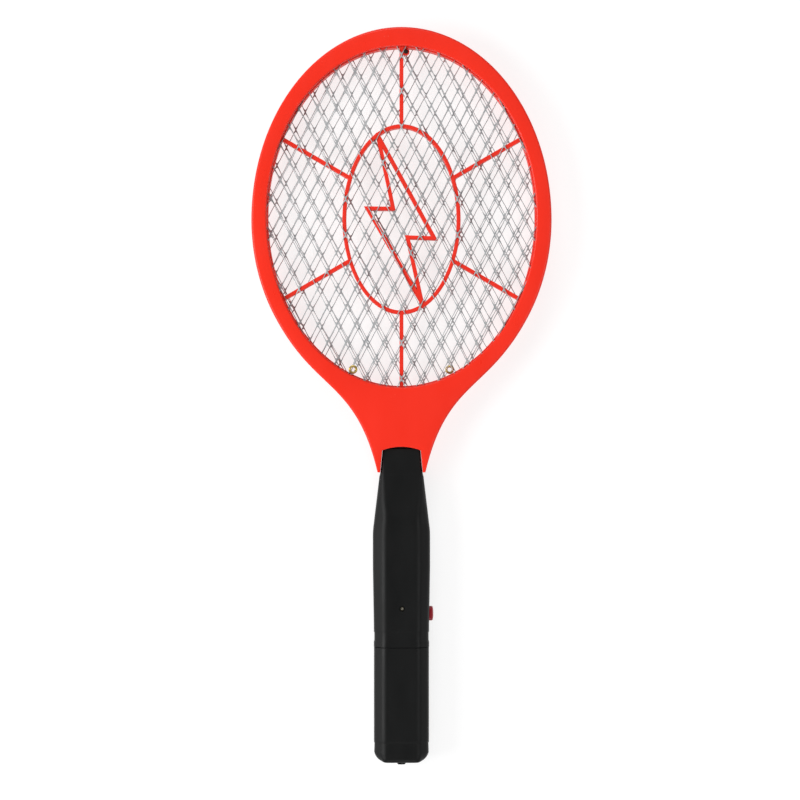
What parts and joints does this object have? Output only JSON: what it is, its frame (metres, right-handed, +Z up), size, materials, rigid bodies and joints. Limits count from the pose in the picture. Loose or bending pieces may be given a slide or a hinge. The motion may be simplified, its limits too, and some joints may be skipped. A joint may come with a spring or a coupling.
{
  "type": "electric fly swatter",
  "caption": "Racket-shaped electric insect swatter: an oval red head with metal grids and a bolt-shaped rib, on a black battery handle with a side push button.",
  "frame": {"origin": "centre of the whole object seen from above, on the surface that the handle lies on", "axes": "+X to the right, on the side of the push button; +Y along the object from the handle to the head; +Z up, out of the front face with the indicator lamp"},
  "size_m": [0.1834, 0.451, 0.026],
  "materials": {
    "red_shell": "smooth moulded ABS",
    "red_rib": "smooth moulded ABS",
    "black_shell": "finely textured moulded ABS",
    "black_tray": "plain moulded ABS",
    "grid_metal": "bright expanded sheet",
    "eyelet_brass": "bright",
    "rivet_dark": "dull dark plating",
    "screw_steel": "zinc plated",
    "screw_black": "black plated",
    "wire_red": "insulation",
    "wire_white": "insulation",
    "wire_black": "insulation",
    "button_red": "smooth moulded",
    "switch_white": "plain moulded",
    "switch_black": "plain moulded",
    "led_lens": "clear diffused epoxy",
    "board_brown": "phenolic paper laminate",
    "ferrite": "sintered ferrite",
    "winding_tape": "polyester tape over enamelled wire",
    "capacitor_red": "dipped epoxy",
    "capacitor_blue": "dipped epoxy",
    "diode_black": "moulded epoxy",
    "transistor_black": "moulded epoxy",
    "resistor_tan": "lacquered",
    "cell_jacket": "plain wrapped can, no print",
    "contact_nickel": "nickel plated"
  },
  "bodies": {
    "body": {"head_front_shell": "red_shell", "head_back_shell": "red_shell", "head_screws": "screw_steel", "front_rib_frame": "red_rib", "back_rib_frame": "red_rib", "front_mesh": "grid_metal", "middle_mesh": "grid_metal", "back_mesh": "grid_metal", "front_mesh_eyelet": "eyelet_brass", "back_mesh_eyelet": "eyelet_brass", "mesh_rivet": "rivet_dark", "high_voltage_lead": "wire_red", "front_ground_lead": "wire_white", "back_ground_lead": "wire_white", "handle_front_shell": "black_shell", "handle_back_shell": "black_shell", "handle_screws": "screw_steel", "switch_body": "switch_black", "led": "led_lens", "circuit_board": "board_brown", "transformer_core": "ferrite", "transformer_winding": "winding_tape", "output_capacitor": "capacitor_red", "multiplier_capacitors": "capacitor_blue", "rectifier_diodes": "diode_black", "transistor": "transistor_black", "resistors": "resistor_tan", "battery_tray": "black_tray", "battery_left": "cell_jacket", "battery_right": "cell_jacket", "positive_contact": "contact_nickel", "negative_contact": "contact_nickel", "bridge_contact": "contact_nickel", "positive_battery_lead": "wire_red", "negative_battery_lead": "wire_black"},
    "button": {"push_button": "button_red", "switch_plunger": "switch_white"},
    "sleeve": {"battery_sleeve": "black_shell"},
    "cover_screw": {"cover_screw": "screw_black"}
  },
  "joints": [
    {"name": "button_press", "type": "slide", "parent": "body", "child": "button", "axis": [-1, 0, 0], "range_m": [0, 0.0013], "stiffness_N_per_m": 600, "springref_m": -0.001},
    {"name": "sleeve_slide", "type": "slide", "parent": "body", "child": "sleeve", "axis": [0, -1, 0], "range_m": [0, 0.072]},
    {"name": "cover_screw_turn", "type": "hinge", "parent": "sleeve", "child": "cover_screw", "pos_m": [0, -0.2235, 0.013], "axis": [0, 1, 0], "continuous": true}
  ]
}
